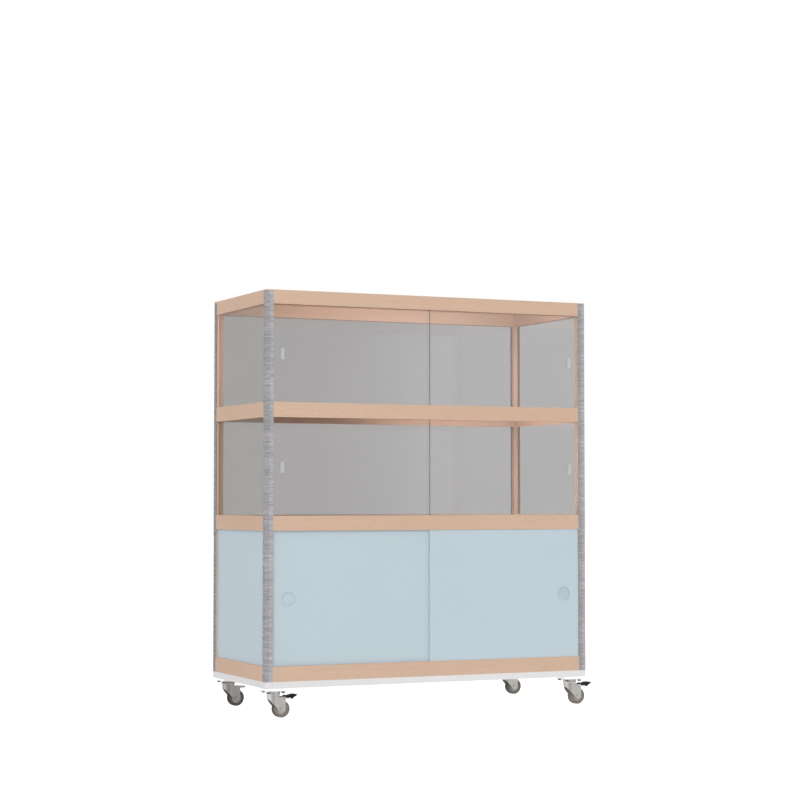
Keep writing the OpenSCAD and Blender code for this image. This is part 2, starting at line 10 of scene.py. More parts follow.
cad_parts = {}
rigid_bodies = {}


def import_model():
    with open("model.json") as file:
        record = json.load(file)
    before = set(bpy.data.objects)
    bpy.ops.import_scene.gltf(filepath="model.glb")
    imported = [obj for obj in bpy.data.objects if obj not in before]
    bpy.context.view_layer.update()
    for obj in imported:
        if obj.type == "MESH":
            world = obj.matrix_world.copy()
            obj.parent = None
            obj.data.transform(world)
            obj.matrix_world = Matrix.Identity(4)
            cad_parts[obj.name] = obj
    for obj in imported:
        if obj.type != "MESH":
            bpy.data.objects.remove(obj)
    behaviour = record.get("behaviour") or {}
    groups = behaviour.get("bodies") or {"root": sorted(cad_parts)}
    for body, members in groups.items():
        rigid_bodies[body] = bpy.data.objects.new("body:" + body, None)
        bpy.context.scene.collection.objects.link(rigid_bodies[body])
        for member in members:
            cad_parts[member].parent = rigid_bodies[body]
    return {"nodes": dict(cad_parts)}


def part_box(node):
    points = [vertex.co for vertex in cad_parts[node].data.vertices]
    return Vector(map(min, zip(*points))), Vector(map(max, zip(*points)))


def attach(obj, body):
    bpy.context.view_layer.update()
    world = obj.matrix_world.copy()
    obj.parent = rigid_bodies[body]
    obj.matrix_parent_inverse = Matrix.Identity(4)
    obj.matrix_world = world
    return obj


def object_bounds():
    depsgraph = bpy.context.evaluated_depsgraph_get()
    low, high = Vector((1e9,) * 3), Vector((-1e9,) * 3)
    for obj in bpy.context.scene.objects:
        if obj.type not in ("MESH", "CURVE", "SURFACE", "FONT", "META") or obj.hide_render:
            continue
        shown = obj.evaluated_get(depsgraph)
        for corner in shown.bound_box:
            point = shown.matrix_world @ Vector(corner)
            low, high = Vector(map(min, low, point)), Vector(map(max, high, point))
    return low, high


for thing in list(bpy.data.objects):
    bpy.data.objects.remove(thing)

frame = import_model()
cad_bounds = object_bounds()
scene = bpy.context.scene
nodes = frame["nodes"]

CORNERS = ("front_left", "front_right", "rear_left", "rear_right")
BRAKED = ("front_left", "front_right")
SHADED_CASTOR = "rear_left"  # the darkest castor, whose materials are darker copies: painted shade
GLASS_DOORS = ("upper_left", "upper_right", "middle_left", "middle_right")
BLUE_DOORS = ("lower_left", "lower_right")
WHITE = (1.0, 1.0, 1.0, 1.0)


# ---------------------------------------------------------------- camera

# Solved from the cabinet's straight edges. Angles in degrees, lens and sensor in mm.
CAMERA_PLACE = (-2.7035, -5.8448, 0.6287)
CAMERA_TILT, CAMERA_TURN = 92.786, -24.692
LENS, SENSOR = 93.26, 36

camera = bpy.data.objects.new("camera", bpy.data.cameras.new("camera"))
scene.collection.objects.link(camera)
camera.location = CAMERA_PLACE
camera.rotation_euler = (math.radians(CAMERA_TILT), 0, math.radians(CAMERA_TURN))
camera.data.lens = LENS
camera.data.sensor_width = SENSOR
scene.camera = camera
scene.view_settings.view_transform = "Standard"


# ---------------------------------------------------------------- material tools

# Most of a noise texture's values lie between these two
NOISE_LOW, NOISE_HIGH = 0.3, 0.7


def add_node(tree, kind, settings=None, **inputs):
    """A shader node with its settings, and its inputs linked or set.

    An input is called by its socket's name, or by _ and its number."""
    made = tree.nodes.new("ShaderNode" + kind)
    for name, value in (settings or {}).items():
        setattr(made, name, value)
    for name, value in inputs.items():
        socket = made.inputs[int(name[1:])] if name[0] == "_" else made.inputs[name]
        if isinstance(value, bpy.types.NodeSocket):
            tree.links.new(value, socket)
        else:
            socket.default_value = value
    return made


class Recipe:
    """A Principled material, and short calls that add nodes to it."""

    def __init__(self, name, **sockets):
        self.material = bpy.data.materials.new(name)
        self.material.use_nodes = True
        self.tree = self.material.node_tree
        self.shader = self.tree.nodes["Principled BSDF"]
        self.output = self.tree.nodes["Material Output"]
        self.place = self.tree.nodes.new("ShaderNodeTexCoord").outputs["Object"]
        for socket, value in sockets.items():
            self.shader.inputs[socket.replace("_", " ")].default_value = value

    def node(self, kind, settings=None, **inputs):
        return add_node(self.tree, kind, settings, **inputs)

    def axis(self, number):
        """One coordinate of the shaded point, in metres."""
        return self.node("SeparateXYZ", Vector=self.place).outputs[number]

    def noise(self, scale, factors=(1, 1, 1), detail=2.0, roughness=0.5, distortion=0.0):
        """Noise whose coordinates are multiplied axis by axis, so it can be drawn out."""
        drawn_out = self.node("Mapping", Vector=self.place, Scale=factors).outputs[0]
        made = self.node(
            "TexNoise", Vector=drawn_out, Scale=scale, Detail=detail,
            Roughness=roughness, Distortion=distortion,
        )
        return made.outputs[0]

    def remap(self, value, low, high, to_low, to_high, smooth=False):
        settings = {"interpolation_type": "SMOOTHSTEP" if smooth else "LINEAR", "clamp": True}
        made = self.node("MapRange", settings, _0=value, _1=low, _2=high, _3=to_low, _4=to_high)
        return made.outputs[0]

    def vary(self, noise, to_low, to_high):
        """The usual span of a noise, brought to the span wanted."""
        return self.remap(noise, NOISE_LOW, NOISE_HIGH, to_low, to_high)

    def math(self, operation, a, b=0.0):
        return self.node("Math", {"operation": operation}, _0=a, _1=b).outputs[0]

    def blend(self, factor, a, b):
        """A mix of two colours, each of them a socket or three numbers."""
        made = self.node("Mix", {"data_type": "RGBA", "blend_type": "MIX"}, _0=factor)
        for socket, value in ((made.inputs[6], a), (made.inputs[7], b)):
            if isinstance(value, bpy.types.NodeSocket):
                self.tree.links.new(value, socket)
            else:
                socket.default_value = (*value, 1.0)
        return made.outputs[2]

    def shade(self, colour, *strengths):
        """Colour multiplied by each grey strength in turn."""
        for strength in strengths:
            scaled = self.node("VectorMath", {"operation": "SCALE"}, _0=colour, _3=strength)
            colour = scaled.outputs[0]
        return colour

    def constant(self, value):
        made = self.node("CombineXYZ", _0=value[0], _1=value[1], _2=value[2])
        return made.outputs[0]

    def bump(self, height, strength, distance):
        return self.node("Bump", Height=height, Strength=strength, Distance=distance).outputs[0]

    def finish(self, colour=None, roughness=None, normal=None):
        """Links what is given to the shader, and returns the material."""
        for name, value in (("Base Color", colour), ("Roughness", roughness), ("Normal", normal)):
            if value is not None:
                self.tree.links.new(value, self.shader.inputs[name])
        return self.material


# ---------------------------------------------------------------- materials

BEECH_LIGHT, BEECH_DARK = (0.612, 0.434, 0.322), (0.586, 0.404, 0.295)
BEECH_FIGURE, BEECH_FLECK = (0.535, 0.358, 0.255), (0.42, 0.262, 0.181)
BEECH_PALE_GREY = (0.60, 0.57, 0.53)


def beech(name, along, lift=1.0, greying=0.0):
    """Lacquered beech whose grain runs along one axis.

    Its colour is multiplied by lift, after greying of it is replaced by a pale grey. A lift above
    1, with greying, is painted light."""
    def drawn_out(across, lengthwise):
        return tuple(lengthwise if axis == along else across for axis in "XYZ")

    r = Recipe(name, Specular_IOR_Level=0.3, Coat_Weight=0.05, Coat_Roughness=0.35)
    boards = r.noise(3.0, drawn_out(2.6, 0.35), detail=1.0)
    figure = r.noise(22.0, drawn_out(5.0, 0.5), detail=3.0, roughness=0.65, distortion=0.8)
    pores = r.noise(90.0, drawn_out(9.0, 1.5), detail=3.0, roughness=0.7)
    flecks = r.noise(150.0, drawn_out(6.0, 1.3), detail=2.0, roughness=0.7)
    fleck_mask = r.remap(flecks, 0.56, 0.68, 0.0, 1.0)
    colour = r.blend(r.vary(boards, 0.0, 1.0), BEECH_LIGHT, BEECH_DARK)
    colour = r.blend(r.remap(figure, 0.35, 0.72, 0.0, 0.35), colour, BEECH_FIGURE)
    colour = r.shade(colour, r.vary(pores, 1.07, 0.92))
    colour = r.blend(r.math("MULTIPLY", fleck_mask, 0.52), colour, BEECH_FLECK)
    # Greying and a lift above 1 are painted light
    colour = r.shade(r.blend(greying, colour, BEECH_PALE_GREY), lift)
    roughness = r.vary(figure, 0.40, 0.52)
    height = r.math("ADD", pores, r.math("MULTIPLY", flecks, 0.6))
    return r.finish(colour, roughness, r.bump(height, 0.18, 0.00025))


def brushed_metal(left_post, right_post):
    """Aluminium brushed across the posts, so its streaks lie level.

    The lowest x of the left and of the right posts are given. The facings carry painted shade
    in place of reflected light: darker for about 1 cm next to that edge, and all over on the
    right posts and on the rear posts."""
    r = Recipe("brushed_aluminium", Metallic=1.0)
    coarse = r.noise(1.0, (30.0, 30.0, 420.0), detail=1.0)
    fine = r.noise(1.0, (90.0, 90.0, 1500.0), detail=3.0, roughness=0.7)
    cloudy = r.noise(1.0, (3.0, 3.0, 26.0), detail=2.0)
    x = r.axis(0)
    across_left = r.math("SUBTRACT", x, left_post)
    across_right = r.math("SUBTRACT", x, right_post)
    right_post_painted_shade, rear_post_painted_shade = 0.67, 0.85
    # Painted shade: darker near each post's lowest x, and darker on the right and rear posts
    colour = r.shade(
        r.constant((0.70, 0.69, 0.715)),
        r.remap(coarse, 0.34, 0.66, 0.78, 1.18),
        r.vary(fine, 0.80, 1.16),
        r.vary(cloudy, 0.95, 1.05),
        r.remap(across_left, 0.006, 0.016, 0.97, 1.13, smooth=True),
        r.remap(across_right, -0.2, -0.1, 1.0, right_post_painted_shade),
        r.remap(across_right, 0.004, 0.018, 1.0, 1.25, smooth=True),
        r.remap(r.axis(1), 0.1, 0.15, 1.0, rear_post_painted_shade),
    )
    roughness = r.vary(fine, 0.34, 0.46)
    height = r.math("ADD", r.math("MULTIPLY", coarse, 0.7), fine)
    return r.finish(colour, roughness, r.bump(height, 0.30, 0.0002))


# Share of the light that a pane's face reflects, seen head-on, and what a slant adds to it
GLOSS_HEAD_ON, GLOSS_SLANT = 0.045, 0.96


def tinted_glass(name, left_tint, right_tint):
    """Grey glass: it lets a tint through and gives back a weak, sharp reflection.

    Each tint is what one face of a pane lets through, left and right of the cabinet's
    middle. The reflection grows with the fifth power of the slant, by Schlick's rule."""
    r = Recipe(name, Metallic=1.0)
    middle = (cad_bounds[0][0] + cad_bounds[1][0]) / 2
    right = r.remap(r.axis(0), middle - 0.01, middle + 0.01, 0.0, 1.0)
    drift = r.noise(2.2)
    specks = r.noise(420.0, detail=1.0)
    smear = r.noise(11.0, (1.0, 1.0, 2.4), detail=3.0, distortion=1.2)
    tint = r.shade(
        r.blend(right, left_tint, right_tint),
        r.vary(drift, 0.992, 1.008),
        r.vary(specks, 0.996, 1.004),
    )
    through = r.node("BsdfTransparent", Color=tint).outputs[0]
    r.finish(
        r.shade(r.constant((0.94, 0.95, 0.96)), r.vary(smear, 0.96, 1.0)),
        r.remap(smear, 0.35, 0.75, 0.035, 0.075),
        r.bump(drift, 0.02, 0.002),
    )
    facing = r.node("LayerWeight", Blend=0.5).outputs["Facing"]
    slant = r.math("MULTIPLY", r.math("POWER", facing, 5.0), GLOSS_SLANT)
    gloss = r.math("ADD", slant, GLOSS_HEAD_ON)
    both = r.node("MixShader", _0=gloss, _1=through, _2=r.shader.outputs[0])
    r.tree.links.new(both.outputs[0], r.output.inputs["Surface"])
    return r.material


def laminate(name, base, speckle_shade):
    """Matt laminate with a fine speckle and a slight orange peel."""
    r = Recipe(name, Specular_IOR_Level=0.35)
    cloud = r.noise(2.6, detail=3.0)
    speckle = r.noise(620.0, detail=2.0, roughness=0.7)
    peel = r.noise(900.0, detail=2.0)
    colour = r.shade(
        r.constant(base),
        r.vary(cloud, 0.988, 1.012),
        r.vary(speckle, 1 - speckle_shade, 1 + speckle_shade),
    )
    return r.finish(colour, r.vary(speckle, 0.44, 0.58), r.bump(peel, 0.10, 0.00015))


def moulded_plastic(name, base, rough=(0.32, 0.46), **sockets):
    """Moulded plastic with a fine spark texture and faint flow marks."""
    r = Recipe(name, **sockets)
    flow = r.noise(35.0, (1.0, 1.0, 2.2), detail=3.0, distortion=0.8)
    spark = r.noise(1500.0, detail=2.0)
    colour = r.shade(
        r.constant(base),
        r.vary(flow, 0.965, 1.03),
        r.vary(spark, 0.985, 1.015),
    )
    return r.finish(colour, r.vary(flow, *rough), r.bump(spark, 0.12, 0.0001))


def zinc(name, base, rough, stain):
    """Zinc plated steel: spangled, a little stained, finely scratched."""
    r = Recipe(name, Metallic=1.0)
    spangle = r.node(
        "TexVoronoi", {"feature": "F1"}, Vector=r.place, Scale=240.0, Randomness=1.0
    ).outputs["Distance"]
    cloud = r.noise(70.0, detail=4.0, roughness=0.65, distortion=0.5)
    scratch = r.noise(1.0, (240.0, 90.0, 1400.0), detail=2.0)
    stain_colour = (0.50, 0.47, 0.40)
    colour = r.shade(
        r.blend(r.remap(cloud, 0.4, 0.75, 0.0, stain), base, stain_colour),
        r.remap(spangle, 0.0, 0.8, 1.03, 0.95),
        r.vary(scratch, 0.96, 1.03),
    )
    roughness = r.vary(cloud, *rough)
    return r.finish(colour, roughness, r.bump(scratch, 0.10, 0.0001))


def flange_bolts(top_of_heads):
    """Zinc washers, with the hexagon heads below them near black."""
    r = Recipe("flange_bolt_steel", Metallic=1.0)
    height = r.axis(2)
    cloud = r.noise(160.0, detail=4.0, roughness=0.65)
    head = r.remap(height, top_of_heads - 0.0001, top_of_heads + 0.0001, 1.0, 0.0)
    washer_zinc, black = (0.80, 0.79, 0.77), (0.055, 0.053, 0.05)
    colour = r.blend(head, washer_zinc, black)
    colour = r.shade(colour, r.vary(cloud, 0.90, 1.08))
    return r.finish(colour, r.vary(cloud, 0.30, 0.46), r.bump(cloud, 0.15, 0.0002))


RUBBER_LIGHT, RUBBER_DARK = (0.205, 0.180, 0.156), (0.170, 0.149, 0.129)
RUBBER_TREAD_WEAR_AND_SHADE, DUST = (0.055, 0.050, 0.045), (0.34, 0.32, 0.29)


def rubber(name, tyre_centres, tread_radius, shade=1.0):
    """Grey rubber, scuffed, and darkened on the tread, as wear and as painted shade.

    tyre_centres are the x and z of the tyres, and a point belongs to the nearest one."""
    r = Recipe(name, Specular_IOR_Level=0.3)
    split = r.node("SeparateXYZ", Vector=r.place)
    nearest = None
    for x, z in tyre_centres:
        dx = r.math("SUBTRACT", split.outputs[0], x)
        dz = r.math("SUBTRACT", split.outputs[2], z)
        squares = r.math("ADD", r.math("MULTIPLY", dx, dx), r.math("MULTIPLY", dz, dz))
        radius = r.math("SQRT", squares)
        nearest = radius if nearest is None else r.math("MINIMUM", nearest, radius)
    tread_wear_and_shade = r.remap(nearest, tread_radius - 0.0022, tread_radius - 0.0004, 0.0, 1.0, smooth=True)
    dust = r.noise(240.0, detail=4.0, roughness=0.7)
    mottle = r.noise(60.0, detail=3.0)
    grain = r.noise(2300.0, detail=2.0)
    colour = r.blend(r.vary(mottle, 0.0, 1.0), RUBBER_LIGHT, RUBBER_DARK)
    # Wear and painted shade: the tread is darkened towards its rim
    colour = r.blend(r.math("MULTIPLY", tread_wear_and_shade, 0.85), colour, RUBBER_TREAD_WEAR_AND_SHADE)
    colour = r.blend(r.remap(dust, 0.55, 0.75, 0.0, 0.35), colour, DUST)
    colour = r.shade(colour, shade)
    roughness = r.vary(dust, 0.62, 0.82)
    return r.finish(colour, roughness, r.bump(grain, 0.20, 0.0001))


def frosted_plastic():
    """Translucent pull: milky, with a satin face."""
    r = Recipe(
        "frosted_plastic", Subsurface_Weight=0.25, Subsurface_Radius=(0.004, 0.004, 0.004),
        Coat_Weight=0.10,
    )
    cloud = r.noise(130.0, detail=3.0)
    satin = r.noise(1800.0, detail=1.0)
    colour = r.shade(
        r.constant((0.485, 0.485, 0.475)),
        r.vary(cloud, 0.97, 1.03),
        r.vary(satin, 0.985, 1.015),
    )
    return r.finish(colour, r.vary(cloud, 0.34, 0.46), r.bump(satin, 0.08, 0.0001))


def polished_edge():
    """Ground edge of a glass pane, where the tint shows at its full depth."""
    r = Recipe("glass_edge", Coat_Weight=0.4, Coat_Roughness=0.1)
    ground = r.noise(1.0, (1400.0, 1400.0, 60.0), detail=2.0)
    drift = r.noise(14.0, detail=2.0)
    colour = r.shade(
        r.constant((0.27, 0.28, 0.275)),
        r.vary(ground, 0.93, 1.07),
        r.vary(drift, 0.95, 1.05),
    )
    return r.finish(colour, r.vary(ground, 0.18, 0.30), r.bump(ground, 0.1, 0.0001))


wood = {axis: beech("beech_along_" + axis.lower(), axis) for axis in "XY"}
wood["Z"] = beech("beech_along_z", "Z", lift=0.93)
# Painted light: lighter, greyer copies of the beech for the front right post, and for the right
# and back linings inside the glazing
post_beech_painted_light = beech("post_painted_light_beech", "Z", lift=1.32, greying=0.50)
lining_beech_painted_light = beech("lining_painted_light_beech", "Z", lift=1.6)
aluminium = brushed_metal(cad_bounds[0][0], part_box("post_front_right")[0].x)
LIGHT_TINT, DARK_TINT = (0.925, 0.918, 0.920), (0.710, 0.708, 0.705)
door_glass = tinted_glass("door_glass", LIGHT_TINT, LIGHT_TINT)
side_glass = tinted_glass("side_glass", (0.897, 0.888, 0.868), (0.737, 0.735, 0.730))
back_glass = tinted_glass("back_glass", DARK_TINT, DARK_TINT)
blue = laminate("blue_laminate", (0.475, 0.563, 0.615), speckle_shade=0.045)
# Painted shade: a darker copy of the blue for the right pull's cup, in place of the shade in its
# recess
cup_blue_painted_shade = laminate("blue_cup_plastic_painted_shade", (0.432, 0.520, 0.588), speckle_shade=0.012)
white = laminate("white_laminate", (0.700, 0.692, 0.692), speckle_shade=0.010)
# Painted light: the spacers glow a little, so they stay white in the shade under the base board
white_plastic = moulded_plastic(
    "white_plastic", (0.95, 0.95, 0.95), Emission_Color=WHITE, Emission_Strength=0.22
)
grey_plastic = moulded_plastic(
    "grey_plastic", (0.43, 0.42, 0.40), rough=(0.28, 0.40), Coat_Weight=0.15
)
ring_plastic = moulded_plastic("ring_plastic", (0.78, 0.77, 0.75))
# Painted shade: a darker copy of the ring plastic for the shaded castor
ring_plastic_painted_shade = moulded_plastic("ring_plastic_painted_shade", (0.42, 0.41, 0.39))
black_plastic = moulded_plastic(
    "black_plastic", (0.007, 0.007, 0.008), rough=(0.45, 0.60), Specular_IOR_Level=0.2
)
steel = zinc("zinc_steel", (0.82, 0.805, 0.785), rough=(0.48, 0.60), stain=0.20)
# Painted shade: a darker, more stained copy of the zinc steel for the shaded castor
stained_and_shaded_steel = zinc("zinc_steel_stained_and_shaded", (0.56, 0.545, 0.53), rough=(0.42, 0.54), stain=0.40)
plate_steel = zinc("plate_steel", (0.92, 0.915, 0.905), rough=(0.45, 0.60), stain=0.08)
bright_steel = zinc("bright_steel", (0.82, 0.82, 0.81), rough=(0.14, 0.24), stain=0.08)
frosted = frosted_plastic()
glass_edge = polished_edge()


def tyre_centre(corner):
    low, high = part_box(corner + "_tyre")
    return (low + high) / 2


centres = {corner: tyre_centre(corner) for corner in CORNERS}
tyre_radius = (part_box("front_left_tyre")[1].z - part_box("front_left_tyre")[0].z) / 2
hub_places = [(c.x, c.z) for c in centres.values()]
grey_rubber = rubber("grey_rubber", hub_places, tyre_radius)
# Painted shade: a darker copy of the rubber for the shaded castor
rubber_painted_shade = rubber("rubber_painted_shade", hub_places, tyre_radius, shade=0.42)
tyre_rubber = {c: rubber_painted_shade if c == SHADED_CASTOR else grey_rubber for c in CORNERS}
HEAD_HEIGHT = 0.0036
bolt_steel = flange_bolts(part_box("plate_bolts")[0].z + HEAD_HEIGHT)


# ---------------------------------------------------------------- CAD nodes

WELD_DISTANCE = 0.00001
SHARPEST_KEPT = math.radians(32)  # an edge that turns less than this isn't rounded


def soften(node, width):
    """Small rounded edges on a CAD node, by modifiers alone."""
    piece = nodes[node]
    weld = piece.modifiers.new("weld", "WELD")
    weld.merge_threshold = WELD_DISTANCE
    bevel = piece.modifiers.new("edges", "BEVEL")
    bevel.width = width
    bevel.segments = 2
    bevel.limit_method = "ANGLE"
    bevel.angle_limit = SHARPEST_KEPT
    bevel.use_clamp_overlap = True
    shading = piece.modifiers.new("shading", "WEIGHTED_NORMAL")
    shading.keep_sharp = False


def dress(material, width, *names):
    """Gives CAD nodes a material, and rounds their edges by width."""
    for name in names:
        piece = nodes[name]
        piece.data.materials.clear()
        piece.data.materials.append(material)
        if width:
            soften(name, width)


dress(wood["Z"], 0.0007, "post_front_left", "post_rear_left", "post_rear_right")
dress(post_beech_painted_light, 0.0007, "post_front_right")
dress(
    wood["X"], 0.0008, "top_front_rail", "upper_front_rail", "lower_front_rail",
    "bottom_front_rail", "back_rails", "rail_dowels", "top_board", "upper_shelf",
    "lower_shelf", "bottom_shelf", "shelf_cleats",
)
dress(wood["Y"], 0.0008, "left_rails", "right_rails")
dress(aluminium, 0.0004, "post_facings")
dress(door_glass, 0.0004, *(name + "_door" for name in GLASS_DOORS))
dress(side_glass, 0.0004, "side_glass")
dress(back_glass, 0.0004, "back_glass")
dress(blue, 0.0004, "left_panel", "right_panel", "back_panel")
dress(blue, 0.0004, *(name + "_door" for name in BLUE_DOORS))
dress(blue, 0.0005, "lower_left_cup")
dress(cup_blue_painted_shade, 0.0005, "lower_right_cup")
dress(white, 0.0008, "base_board")
dress(white_plastic, 0.0005, "castor_spacers")
dress(plate_steel, 0.0003, "castor_plates", "base_screws")
dress(bolt_steel, 0.0003, "plate_bolts")
dress(frosted, 0.0004, *(name + "_pull" for name in GLASS_DOORS))
for corner in CORNERS:
    metal = stained_and_shaded_steel if corner == SHADED_CASTOR else steel
    dress(metal, 0.0003, corner + "_fork", corner + "_axle")
    dress(grey_plastic, 0.0004, corner + "_wheel")
    dress(tyre_rubber[corner], 0.0, corner + "_tyre")
for corner in BRAKED:
    dress(black_plastic, 0.0005, corner + "_pedal")
    dress(bright_steel, 0.0002, corner + "_pedal_pin")


# ---------------------------------------------------------------- added pieces

TURNED_STEPS, BEAD_POINTS = 72, 10


def piece_from(mesh_data, name, material, body, smooth=True):
    """New object from a bmesh, which rides on a body and has a material slot."""
    mesh = bpy.data.meshes.new(name)
    mesh_data.to_mesh(mesh)
    mesh_data.free()
    made = bpy.data.objects.new(name, mesh)
    scene.collection.objects.link(made)
    made.data.materials.append(material)
    for face in mesh.polygons:
        face.use_smooth = smooth
    shading = made.modifiers.new("shading", "WEIGHTED_NORMAL")
    shading.keep_sharp = False
    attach(made, body)


def turned(name, profile, place, material, body):
    """Closed profile of (radius, height) turned about the axis of place."""
    data = bmesh.new()
    rings = []
    for step in range(TURNED_STEPS):
        angle = 2 * math.pi * step / TURNED_STEPS
        turn = Vector((math.cos(angle), math.sin(angle), 0))
        rings.append([data.verts.new(place @ (turn * r + Vector((0, 0, h)))) for r, h in profile])
    count = len(profile)
    for step in range(TURNED_STEPS):
        here, there = rings[step], rings[(step + 1) % TURNED_STEPS]
        for i in range(count):
            j = (i + 1) % count
            data.faces.new((here[i], there[i], there[j], here[j]))
    bmesh.ops.recalc_face_normals(data, faces=data.faces)
    piece_from(data, name, material, body)


def bead(radius, height, thickness):
    """Profile of a round bead: a circle at this radius and height."""
    return [
        (
            radius + thickness / 2 * math.cos(2 * math.pi * i / BEAD_POINTS),
            height + thickness / 2 * math.sin(2 * math.pi * i / BEAD_POINTS),
        )
        for i in range(BEAD_POINTS)
    ]


def strip(name, low, high, rounding, material, body):
    """Bar between two corners, with rounded edges."""
    data = bmesh.new()
    bmesh.ops.create_cube(data, size=1.0)
    low, high = Vector(low), Vector(high)
    for vert in data.verts:
        share = vert.co + Vector((0.5, 0.5, 0.5))
        vert.co = Vector(low[i] + share[i] * (high[i] - low[i]) for i in range(3))
    bmesh.ops.bevel(
        data, geom=list(data.edges), offset=rounding, segments=3, profile=0.5, affect="EDGES"
    )
    piece_from(data, name, material, body)


def upright(x, y, z):
    """Place with its axis along +Z."""
    return Matrix.Translation((x, y, z))


def level(x, y, z, side):
    """Place with its axis along Y, towards the side -1 or 1."""
    return Matrix.Translation((x, y, z)) @ Matrix.Rotation(-side * math.pi / 2, 4, "X")


# Profiles of (radius, height) in metres. A dust ring's heights are from under the base board,
# and the other heights are out from the middle of the wheel.
TRAIL = 0.023  # from a castor's swivel axis to its wheel's axle
board_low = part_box("base_board")[0].z
DUST_RING = [
    (0.0168, -0.0124), (0.0199, -0.0124), (0.0204, -0.0119), (0.0204, -0.0100),
    (0.0199, -0.0095), (0.0168, -0.0095),
]
TYRE_LIP = [
    (0.0158, 0.0088), (0.0158, 0.0096), (0.0164, 0.0101), (0.0190, 0.0103),
    (0.0200, 0.0101), (0.0205, 0.0096), (0.0205, 0.0088),
]
HUB_RING = bead(0.0148, 0.0093, 0.0011)
BEARING_RING = bead(0.0084, 0.0054, 0.0014)
for corner in CORNERS:
    hub = centres[corner]
    turned(
        corner + "_dust_ring", DUST_RING, upright(hub.x - TRAIL, hub.y, board_low),
        ring_plastic_painted_shade if corner == SHADED_CASTOR else ring_plastic, "cabinet",
    )
    for side, word in ((-1, "front"), (1, "back")):
        outward = level(hub.x, hub.y, hub.z, side)
        body = corner + "_wheel"
        turned(
            corner + "_tyre_lip_" + word, TYRE_LIP, outward, tyre_rubber[corner],
            body,
        )
        turned(
            corner + "_hub_ring_" + word, HUB_RING, outward, bright_steel, body
        )
        turned(
            corner + "_bearing_ring_" + word, BEARING_RING, outward, bright_steel,
            body,
        )


def lining(name, wall_axis, low, high, mouth, depth, material):
    """Mitred frame round an opening, inside the grooves that hold its pane.

    The box low to high is the opening, as thick as the pane's groove along wall_axis.
    The frame starts the distance mouth beyond the opening and ends at depth."""
    across = 1 - wall_axis
    data = bmesh.new()
    rings = []
    for out, thick in ((mouth, 0), (mouth, 1), (depth, 1), (depth, 0)):
        ring = []
        for side, level_side in ((0, 0), (1, 0), (1, 1), (0, 1)):
            point = [0.0, 0.0, 0.0]
            point[wall_axis] = (low, high)[thick][wall_axis]
            point[across] = (low[across] - out, high[across] + out)[side]
            point[2] = (low[2] - out, high[2] + out)[level_side]
            ring.append(data.verts.new(point))
        rings.append(ring)
    for i in range(4):
        here, there = rings[i], rings[(i + 1) % 4]
        for j in range(4):
            k = (j + 1) % 4
            data.faces.new((here[j], here[k], there[k], there[j]))
    bmesh.ops.recalc_face_normals(data, faces=data.faces)
    piece_from(data, name, material, "cabinet", smooth=False)


# Linings that close the grooves round the fixed panes, so no dark slot shows beside them
MOUTH, GROOVE_DEPTH, PANE_PLAY = 0.00005, 0.0049, 0.00005
rear_left_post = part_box("post_rear_left")
front_right_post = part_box("post_front_right")
pane_low, pane_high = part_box("side_glass")
back_low, back_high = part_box("back_glass")
PANE = back_high.y - back_low.y
levels = {
    "middle": (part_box("lower_front_rail")[1].z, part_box("upper_front_rail")[0].z),
    "upper": (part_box("upper_front_rail")[1].z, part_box("top_front_rail")[0].z),
}
for level_name, (bottom, top) in levels.items():
    walls = {
        "left": (pane_low.x - PANE_PLAY, pane_low.x + PANE + PANE_PLAY),
        "right": (pane_high.x - PANE - PANE_PLAY, pane_high.x + PANE_PLAY),
    }
    for wall, (outside, inside) in walls.items():
        lining(
            wall + "_lining_" + level_name, 0, (outside, front_right_post[1].y, bottom),
            (inside, rear_left_post[0].y, top), MOUTH, GROOVE_DEPTH,
            wood["Z"] if wall == "left" else lining_beech_painted_light,
        )
    lining(
        "back_lining_" + level_name, 1,
        (rear_left_post[1].x, back_low.y - PANE_PLAY, bottom),
        (front_right_post[0].x, back_high.y + PANE_PLAY, top),
        MOUTH, GROOVE_DEPTH, lining_beech_painted_light,
    )

# Ground edges of the glass doors where they overlap, a sliver proud of the glass
PROUD, EDGE_INSET, EDGE_ROUNDING = 0.0005, 0.0003, 0.0002
for name in GLASS_DOORS:
    body = name + "_door"
    low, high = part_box(body)
    x = high.x if "left" in name else low.x
    strip(
        name + "_edge",
        (x - PROUD, low.y + EDGE_INSET, low.z + EDGE_INSET),
        (x + PROUD, high.y - EDGE_INSET, high.z - EDGE_INSET),
        EDGE_ROUNDING, glass_edge, body,
    )


# ---------------------------------------------------------------- floor and light

def pale_floor(half_width):
    """Floor that shows plain white to the camera, and lights nothing itself."""
    data = bmesh.new()
    bmesh.ops.create_grid(data, x_segments=1, y_segments=1, size=half_width)
    mesh = bpy.data.meshes.new("floor")
    data.to_mesh(mesh)
    data.free()
    floor = bpy.data.objects.new("floor", mesh)
    scene.collection.objects.link(floor)
    r = Recipe(
        "pale_floor", Roughness=0.9, Specular_IOR_Level=0.0, Emission_Color=WHITE,
        Emission_Strength=0.93,
    )
    cloud = r.noise(0.8)
    colour = r.shade(r.constant((0.42, 0.42, 0.42)), r.vary(cloud, 0.98, 1.0))
    floor.data.materials.append(r.finish(colour))
    floor.visible_glossy = False
    floor.visible_diffuse = False


pale_floor(30.0)

# Round the horizon from the back, over the left, the front and the right: an azimuth in
# degrees and the colour there. Only glossy rays see these cards.
CARDS = [
    (-180, (0.45, 0.45, 0.46)),
    (-138, (0.42, 0.42, 0.43)),
    (-118, (1.0, 1.0, 1.0)),
    (-62, (1.0, 1.0, 1.0)),
    (-46, (0.28, 0.27, 0.25)),
    (23.0, (0.28, 0.27, 0.25)),
    (25.6, (0.98, 0.98, 1.0)),
    (38, (1.0, 1.0, 1.0)),
    (52, (0.50, 0.49, 0.48)),
    (110, (0.72, 0.71, 0.70)),
    (180, (0.45, 0.45, 0.46)),
]


